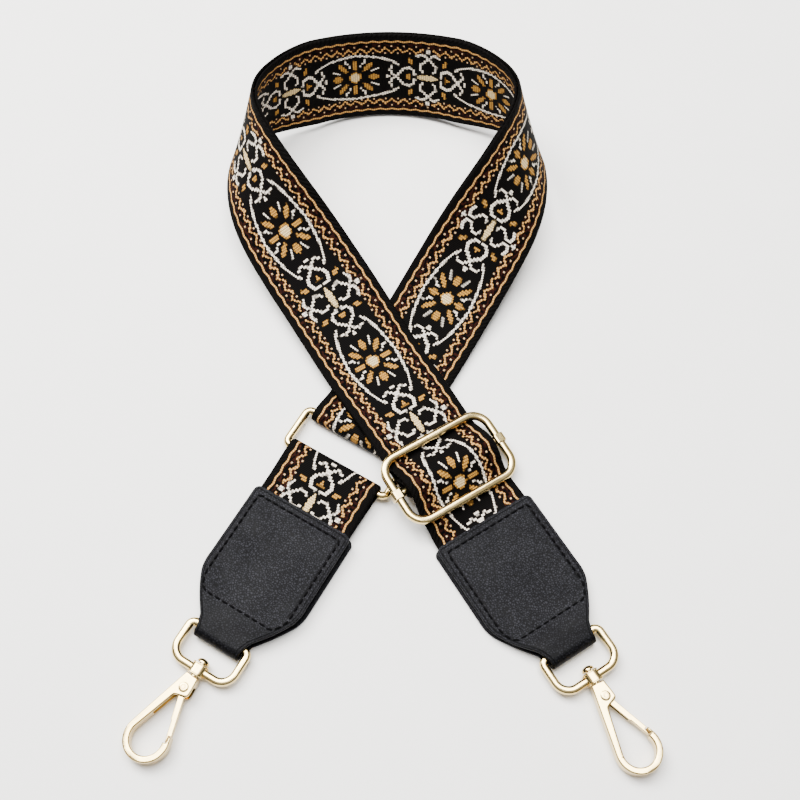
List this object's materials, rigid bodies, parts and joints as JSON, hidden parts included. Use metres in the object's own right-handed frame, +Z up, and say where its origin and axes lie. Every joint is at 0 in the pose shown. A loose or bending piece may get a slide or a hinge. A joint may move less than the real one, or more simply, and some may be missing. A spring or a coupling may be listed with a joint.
{
  "type": "detachable bag strap",
  "caption": "Adjustable bag strap of patterned black webbing with a gold-coloured slide adjuster, joining ring, leather end tabs and swivel snap hooks, laid in a crossed loop.",
  "frame": {"origin": "on the underside of the webbing, where the middle lines of the two crossed legs meet, at the height of the table", "axes": "+Y from the crossing to the top of the loop, +Z up from the table, +X towards the leg with the slide adjuster"},
  "size_m": [0.1789, 0.2888, 0.0455],
  "materials": {
    "webbing": "woven, black with gold and cream pattern",
    "leather": "fine grain, satin",
    "thread": "waxed",
    "gold_metal": "polished pale gold plating",
    "spring_steel": "bright wire"
  },
  "bodies": {
    "strap": {"main_webbing": "webbing", "leather_tab_right": "leather", "seam_thread_right": "thread", "slider_bar": "gold_metal"},
    "slider": {"slider_frame": "gold_metal"},
    "ring": {"adjuster_ring": "gold_metal"},
    "left_end": {"short_webbing": "webbing", "leather_tab_left": "leather", "seam_thread_left": "thread"},
    "right_d_ring": {"d_ring_right": "gold_metal"},
    "left_d_ring": {"d_ring_left": "gold_metal"},
    "right_hook": {"hook_body_right": "gold_metal", "swivel_post_right": "gold_metal", "gate_pin_right": "gold_metal", "gate_spring_right": "spring_steel"},
    "left_hook": {"hook_body_left": "gold_metal", "swivel_post_left": "gold_metal", "gate_pin_left": "gold_metal", "gate_spring_left": "spring_steel"},
    "right_gate": {"gate_right": "gold_metal"},
    "left_gate": {"gate_left": "gold_metal"}
  },
  "joints": [
    {"name": "slider_play", "type": "slide", "parent": "strap", "child": "slider", "axis": [-0.5191, 0.8479, 0.108], "range_m": [-0.0008, 0.0008]},
    {"name": "ring_swing", "type": "hinge", "parent": "strap", "child": "ring", "pos_m": [-0.01225, -0.01924, 0.0031], "axis": [0.8529, -0.5221, 0], "range_deg": [0, 60]},
    {"name": "left_end_swing", "type": "hinge", "parent": "ring", "child": "left_end", "pos_m": [-0.0206, -0.03288, 0.0031], "axis": [0.8529, -0.5221, 0], "range_deg": [-60, 60]},
    {"name": "right_d_ring_swing", "type": "hinge", "parent": "strap", "child": "right_d_ring", "pos_m": [0.06094, -0.09859, 0.0032], "axis": [0.8529, 0.5221, 0], "range_deg": [-90, 90]},
    {"name": "left_d_ring_swing", "type": "hinge", "parent": "left_end", "child": "left_d_ring", "pos_m": [-0.05922, -0.09425, 0.0032], "axis": [0.8529, -0.5221, 0], "range_deg": [-90, 90]},
    {"name": "right_hook_swivel", "type": "hinge", "parent": "right_d_ring", "child": "right_hook", "pos_m": [0.06799, -0.1101, 0.0032], "axis": [-0.4768, 0.879, 0], "continuous": true},
    {"name": "left_hook_swivel", "type": "hinge", "parent": "left_d_ring", "child": "left_hook", "pos_m": [-0.06627, -0.10576, 0.0032], "axis": [0.566, 0.8244, 0], "continuous": true},
    {"name": "right_gate_hinge", "type": "hinge", "parent": "right_hook", "child": "right_gate", "pos_m": [0.07151, -0.11661, 0.0032], "axis": [0, 0, -1], "range_deg": [0, 24], "stiffness_Nm_per_rad": 0.01, "springref_deg": -34.38},
    {"name": "left_gate_hinge", "type": "hinge", "parent": "left_hook", "child": "left_gate", "pos_m": [-0.07046, -0.11186, 0.0032], "axis": [0, 0, -1], "range_deg": [0, 24], "stiffness_Nm_per_rad": 0.01, "springref_deg": -34.38}
  ]
}
